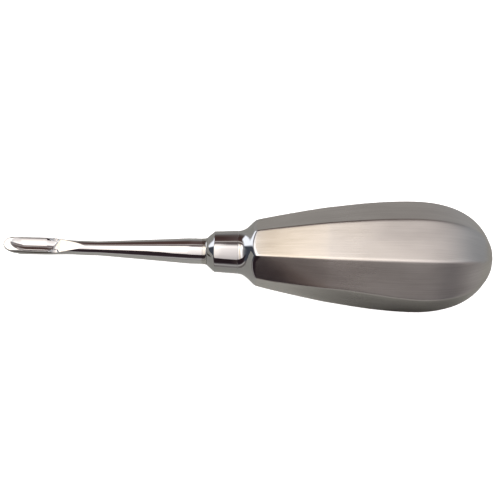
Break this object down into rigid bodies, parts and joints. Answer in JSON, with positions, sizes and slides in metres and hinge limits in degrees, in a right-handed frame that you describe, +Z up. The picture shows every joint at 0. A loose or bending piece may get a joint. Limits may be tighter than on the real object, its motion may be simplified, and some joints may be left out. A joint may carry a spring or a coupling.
{
  "type": "dental elevator",
  "caption": "Root elevator: small gouge blade on a tapered round shank, polished ferrule, and a large faceted hollow steel handle with a domed butt.",
  "frame": {"origin": "centre of the footprint, on the surface that the instrument lies on", "axes": "+X towards the butt of the handle, so the blade's tip is at -X; +Y across the instrument; +Z up, out of the open side of the blade. The instrument lies nose down, on one facet of the handle and the tip of the blade."},
  "size_m": [0.1336, 0.0286, 0.0296],
  "materials": {
    "polished_steel": "mirror-polished stainless steel",
    "satin_steel": "satin stainless steel, brushed lengthwise",
    "silver_braze": "polished silver braze",
    "turned_steel": "plain turned stainless steel"
  },
  "bodies": {
    "root": {"blade_and_shank": "polished_steel", "shank_braze_fillet": "silver_braze", "neck_ferrule": "polished_steel", "tang_cross_pin": "turned_steel", "neck_bush": "turned_steel", "handle_shell_upper": "satin_steel", "handle_shell_lower": "satin_steel", "seam_weld_left": "satin_steel", "seam_weld_right": "satin_steel"}
  },
  "joints": []
}
